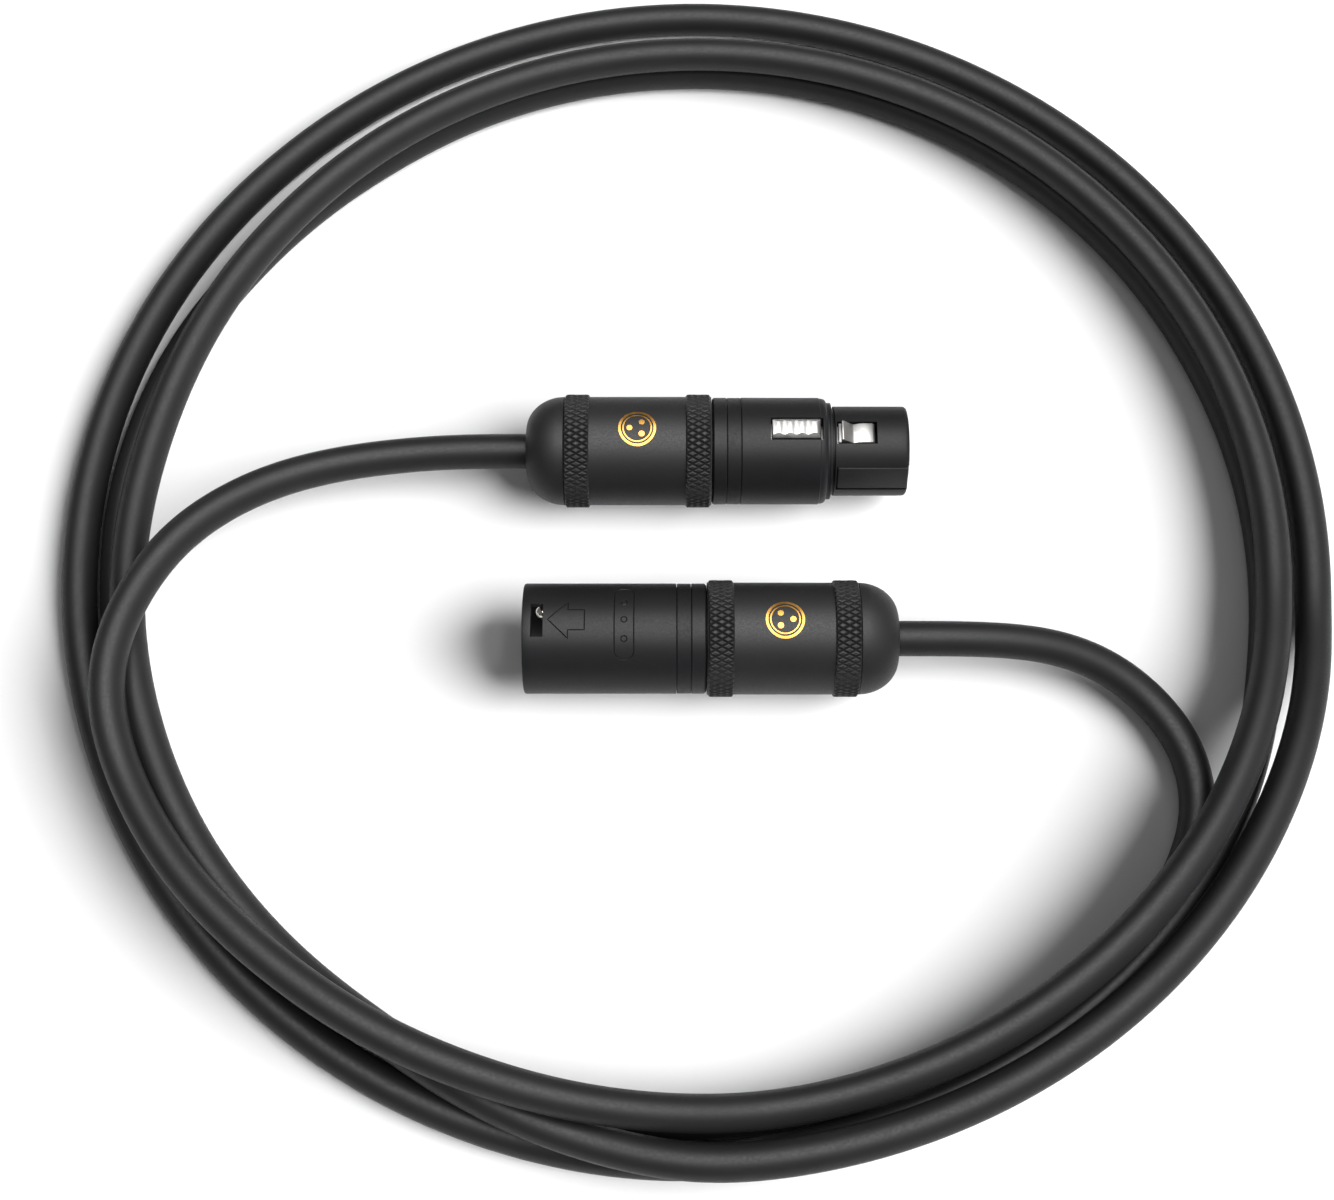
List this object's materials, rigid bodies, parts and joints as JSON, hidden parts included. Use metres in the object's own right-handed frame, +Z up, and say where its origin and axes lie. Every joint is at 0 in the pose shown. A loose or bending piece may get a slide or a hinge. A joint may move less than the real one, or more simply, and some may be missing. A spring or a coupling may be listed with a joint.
{
  "type": "balanced audio cable",
  "caption": "Coiled balanced microphone cable with a three-pole locking plug at one end and a matching socket at the other, each with a screwed-on strain relief boot.",
  "frame": {"origin": "on the table, below the middle of the bounding box of the two connectors", "axes": "+Z up, +X along the connectors towards the female nose (the male mouth looks towards -X), +Y towards the female connector"},
  "size_m": [0.2295, 0.2296, 0.0202],
  "materials": {
    "shell_metal": "satin black coated die-cast zinc",
    "code_ring_plastic": "matte black moulded plastic",
    "insert_plastic": "fine matte black glass-filled plastic",
    "contact_silver": "silver plated brass",
    "latch_nickel": "satin nickel plate",
    "spring_steel": "bright drawn spring steel",
    "chuck_plastic": "dark grey moulded nylon",
    "boot_rubber": "fine matte black moulded rubber",
    "cable_jacket": "matte dark grey flexible jacket",
    "core_red": "red wire insulation",
    "core_white": "white wire insulation",
    "drain_copper": "bare stranded copper"
  },
  "bodies": {
    "root": {"female_shell": "shell_metal", "female_code_ring": "code_ring_plastic", "female_insert": "insert_plastic", "female_contact_1": "contact_silver", "female_contact_2": "contact_silver", "female_contact_3": "contact_silver", "female_latch_pin": "spring_steel", "female_latch_spring": "spring_steel", "female_cable_end": "cable_jacket", "female_core_hot": "core_red", "female_core_cold": "core_white", "female_shield_drain": "drain_copper", "male_shell": "shell_metal", "male_code_ring": "code_ring_plastic", "male_insert": "insert_plastic", "male_pin_1": "contact_silver", "male_pin_2": "contact_silver", "male_pin_3": "contact_silver", "male_cable_end": "cable_jacket", "male_core_hot": "core_red", "male_core_cold": "core_white", "male_shield_drain": "drain_copper", "cable_coil": "cable_jacket", "cable_lead_female": "cable_jacket", "cable_lead_male": "cable_jacket"},
    "female_latch": {"female_latch": "latch_nickel"},
    "female_chuck": {"female_chuck": "chuck_plastic"},
    "female_boot": {"female_bushing": "insert_plastic", "female_boot_sleeve": "boot_rubber", "female_boot_dome": "boot_rubber"},
    "male_chuck": {"male_chuck": "chuck_plastic"},
    "male_boot": {"male_bushing": "insert_plastic", "male_boot_sleeve": "boot_rubber", "male_boot_dome": "boot_rubber"}
  },
  "joints": [
    {"name": "female_latch_press", "type": "hinge", "parent": "root", "child": "female_latch", "pos_m": [0.00825, 0.0178, 0.0163], "axis": [0, 1, 0], "range_deg": [0, 3.5], "stiffness_Nm_per_rad": 0.05, "deforming": ["female_latch_spring"]},
    {"name": "female_chuck_slide", "type": "slide", "parent": "root", "child": "female_chuck", "axis": [-1, 0, 0], "range_m": [0, 0.004]},
    {"name": "female_boot_turn", "type": "hinge", "parent": "female_chuck", "child": "female_boot", "pos_m": [-0.02, 0.0178, 0.0101], "axis": [-1, 0, 0], "range_deg": [0, 1440]},
    {"name": "male_chuck_slide", "type": "slide", "parent": "root", "child": "male_chuck", "axis": [1, 0, 0], "range_m": [0, 0.004]},
    {"name": "male_boot_turn", "type": "hinge", "parent": "male_chuck", "child": "male_boot", "pos_m": [0.02, -0.0178, 0.0101], "axis": [1, 0, 0], "range_deg": [0, 1440]}
  ],
  "couplings": [
    {"joint": "female_boot_turn", "follows": "female_chuck_slide", "rad_per_m": 6283.2},
    {"joint": "male_boot_turn", "follows": "male_chuck_slide", "rad_per_m": 6283.2}
  ]
}
